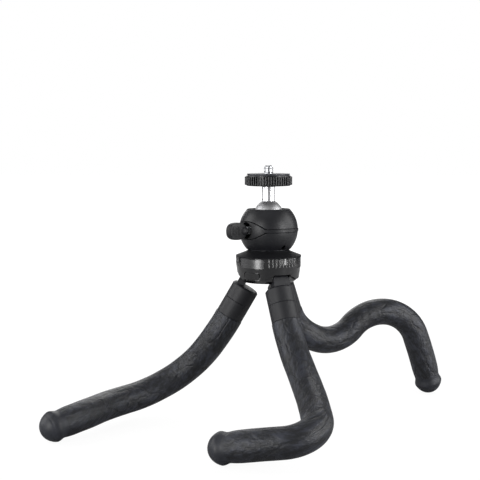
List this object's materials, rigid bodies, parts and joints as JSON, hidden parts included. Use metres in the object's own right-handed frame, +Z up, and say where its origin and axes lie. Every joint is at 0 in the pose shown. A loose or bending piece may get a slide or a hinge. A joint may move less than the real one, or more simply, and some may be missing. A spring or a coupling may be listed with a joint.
{
  "type": "flexible leg tripod",
  "caption": "Small table tripod: ball head with lock screw and camera screw on a round base, whose hinged rubber legs bend and hold their shape.",
  "frame": {"origin": "point on the floor straight below the head's axis, where the tripod stands on its three feet", "axes": "+Z up along the head's axis and the camera screw, -Y to the picture's viewer, +X to its right"},
  "size_m": [0.274, 0.2109, 0.172],
  "materials": {
    "collar_plastic": "satin",
    "cone_plastic": "satin",
    "plate_gloss": "gloss",
    "small_steel": "brushed",
    "washer_rubber": "matte",
    "housing_plastic": "satin",
    "band_plastic": "satin",
    "nylon": "matte",
    "ball_chrome": "polished",
    "screw_steel": "turned",
    "pad_rubber": "matte",
    "ring_plastic": "satin",
    "wing_plastic": "satin",
    "knuckle_plastic": "satin",
    "foot_rubber": "matte",
    "leg_rubber": "embossed matte",
    "wire_aluminium": "drawn"
  },
  "bodies": {
    "base": {"base_collar": "collar_plastic", "base_cone": "cone_plastic", "side_plates": "plate_gloss", "base_floor": "collar_plastic", "base_screws": "small_steel", "hinge_pins": "small_steel", "head_bolt": "small_steel", "neck_washer": "washer_rubber", "lower_shell": "housing_plastic", "clamp_band": "band_plastic", "upper_shell": "housing_plastic", "grub_screw": "small_steel"},
    "ball_cup": {"ball_seat": "nylon"},
    "ball": {"ball_stem": "ball_chrome", "camera_screw": "screw_steel"},
    "pad": {"ring_pad": "pad_rubber"},
    "ring": {"lock_ring": "ring_plastic"},
    "brake": {"brake_pad": "nylon"},
    "lock": {"lock_screw": "screw_steel", "lock_wing": "wing_plastic"},
    "left_leg_1": {"left_leg_knuckle": "knuckle_plastic", "left_leg_ferrule": "knuckle_plastic", "left_leg_sleeve_1": "leg_rubber", "left_leg_wire_1": "wire_aluminium"},
    "left_leg_2": {"left_leg_sleeve_2": "leg_rubber", "left_leg_wire_2": "wire_aluminium"},
    "left_leg_3": {"left_leg_sleeve_3": "leg_rubber", "left_leg_wire_3": "wire_aluminium"},
    "left_leg_4": {"left_leg_sleeve_4": "leg_rubber", "left_leg_wire_4": "wire_aluminium"},
    "left_leg_5": {"left_leg_sleeve_5": "leg_rubber", "left_leg_wire_5": "wire_aluminium", "left_leg_foot": "foot_rubber"},
    "front_leg_1": {"front_leg_knuckle": "knuckle_plastic", "front_leg_ferrule": "knuckle_plastic", "front_leg_sleeve_1": "leg_rubber", "front_leg_wire_1": "wire_aluminium"},
    "front_leg_2": {"front_leg_sleeve_2": "leg_rubber", "front_leg_wire_2": "wire_aluminium"},
    "front_leg_3": {"front_leg_sleeve_3": "leg_rubber", "front_leg_wire_3": "wire_aluminium"},
    "front_leg_4": {"front_leg_sleeve_4": "leg_rubber", "front_leg_wire_4": "wire_aluminium"},
    "front_leg_5": {"front_leg_sleeve_5": "leg_rubber", "front_leg_wire_5": "wire_aluminium", "front_leg_foot": "foot_rubber"},
    "rear_leg_1": {"rear_leg_knuckle": "knuckle_plastic", "rear_leg_ferrule": "knuckle_plastic", "rear_leg_sleeve_1": "leg_rubber", "rear_leg_wire_1": "wire_aluminium"},
    "rear_leg_2": {"rear_leg_sleeve_2": "leg_rubber", "rear_leg_wire_2": "wire_aluminium"},
    "rear_leg_3": {"rear_leg_sleeve_3": "leg_rubber", "rear_leg_wire_3": "wire_aluminium"},
    "rear_leg_4": {"rear_leg_sleeve_4": "leg_rubber", "rear_leg_wire_4": "wire_aluminium"},
    "rear_leg_5": {"rear_leg_sleeve_5": "leg_rubber", "rear_leg_wire_5": "wire_aluminium", "rear_leg_foot": "foot_rubber"}
  },
  "joints": [
    {"name": "ball_pan", "type": "hinge", "parent": "base", "child": "ball_cup", "pos_m": [0, 0, 0.1397], "axis": [0, 0, 1], "continuous": true},
    {"name": "ball_tilt", "type": "hinge", "parent": "ball_cup", "child": "ball", "pos_m": [0, 0, 0.1397], "axis": [1, 0, 0], "range_deg": [-40, 40]},
    {"name": "ring_lift", "type": "slide", "parent": "ball", "child": "pad", "axis": [0, 0, 1], "range_m": [0, 0.00381]},
    {"name": "ring_turn", "type": "hinge", "parent": "pad", "child": "ring", "pos_m": [0, 0, 0.1583], "axis": [0, 0, 1], "range_deg": [0, 1080]},
    {"name": "brake_slide", "type": "slide", "parent": "base", "child": "brake", "axis": [-0.766, -0.6428, 0], "range_m": [0, 0.0008]},
    {"name": "lock_turn", "type": "hinge", "parent": "brake", "child": "lock", "pos_m": [0, 0, 0.1292], "axis": [-0.766, -0.6428, 0], "range_deg": [0, 360]},
    {"name": "left_leg_spread", "type": "hinge", "parent": "base", "child": "left_leg_1", "pos_m": [-0.01598, 0.00084, 0.097], "axis": [0.0523, 0.9986, 0], "range_deg": [-29.5, 50]},
    {"name": "left_leg_bend_1", "type": "hinge", "parent": "left_leg_1", "child": "left_leg_2", "pos_m": [-0.0441, 0.00733, 0.04429], "axis": [-0.5126, 0.5538, 0.6561], "range_deg": [-30, 30]},
    {"name": "left_leg_bend_2", "type": "hinge", "parent": "left_leg_2", "child": "left_leg_3", "pos_m": [-0.06779, 0.00968, 0.02379], "axis": [-0.5231, 0.4813, 0.7034], "range_deg": [-30, 30]},
    {"name": "left_leg_bend_3", "type": "hinge", "parent": "left_leg_3", "child": "left_leg_4", "pos_m": [-0.09394, -0.00497, 0.01437], "axis": [-0.1735, 0.0787, 0.9817], "range_deg": [-30, 30]},
    {"name": "left_leg_bend_4", "type": "hinge", "parent": "left_leg_4", "child": "left_leg_5", "pos_m": [-0.11214, -0.03097, 0.01324], "axis": [0.3276, -0.1446, -0.9337], "range_deg": [-30, 30]},
    {"name": "front_leg_spread", "type": "hinge", "parent": "base", "child": "front_leg_1", "pos_m": [0.00726, -0.01426, 0.097], "axis": [-0.891, -0.454, 0], "range_deg": [-26.5, 50]},
    {"name": "front_leg_bend_1", "type": "hinge", "parent": "front_leg_1", "child": "front_leg_2", "pos_m": [0.01908, -0.04211, 0.04611], "axis": [-0.9191, -0.0267, -0.3932], "range_deg": [-30, 30]},
    {"name": "front_leg_bend_2", "type": "hinge", "parent": "front_leg_2", "child": "front_leg_3", "pos_m": [0.02556, -0.07035, 0.03289], "axis": [-0.0551, 0.261, -0.9638], "range_deg": [-30, 30]},
    {"name": "front_leg_bend_3", "type": "hinge", "parent": "front_leg_3", "child": "front_leg_4", "pos_m": [0.0287, -0.10103, 0.0244], "axis": [0.1534, 0.2693, -0.9507], "range_deg": [-30, 30]},
    {"name": "front_leg_bend_4", "type": "hinge", "parent": "front_leg_4", "child": "front_leg_5", "pos_m": [0.00846, -0.11867, 0.01614], "axis": [0.0487, -0.3729, -0.9266], "range_deg": [-30, 30]},
    {"name": "rear_leg_spread", "type": "hinge", "parent": "base", "child": "rear_leg_1", "pos_m": [0.00871, 0.01342, 0.097], "axis": [0.8387, -0.5446, 0], "range_deg": [-27.5, 50]},
    {"name": "rear_leg_bend_1", "type": "hinge", "parent": "rear_leg_1", "child": "rear_leg_2", "pos_m": [0.03302, 0.03425, 0.04861], "axis": [0.3958, -0.9155, 0.0722], "range_deg": [-30, 30]},
    {"name": "rear_leg_bend_2", "type": "hinge", "parent": "rear_leg_2", "child": "rear_leg_3", "pos_m": [0.06008, 0.0464, 0.05437], "axis": [-0.3485, 0.9294, -0.1216], "range_deg": [-30, 30]},
    {"name": "rear_leg_bend_3", "type": "hinge", "parent": "rear_leg_3", "child": "rear_leg_4", "pos_m": [0.08716, 0.05777, 0.06372], "axis": [-0.3301, 0.9438, 0.0159], "range_deg": [-30, 30]},
    {"name": "rear_leg_bend_4", "type": "hinge", "parent": "rear_leg_4", "child": "rear_leg_5", "pos_m": [0.10943, 0.06589, 0.04444], "axis": [0.4649, 0.8389, 0.283], "range_deg": [-30, 30]}
  ],
  "couplings": [
    {"joint": "ring_turn", "follows": "ring_lift", "rad_per_m": 4947.4},
    {"joint": "lock_turn", "follows": "brake_slide", "rad_per_m": 7854}
  ]
}
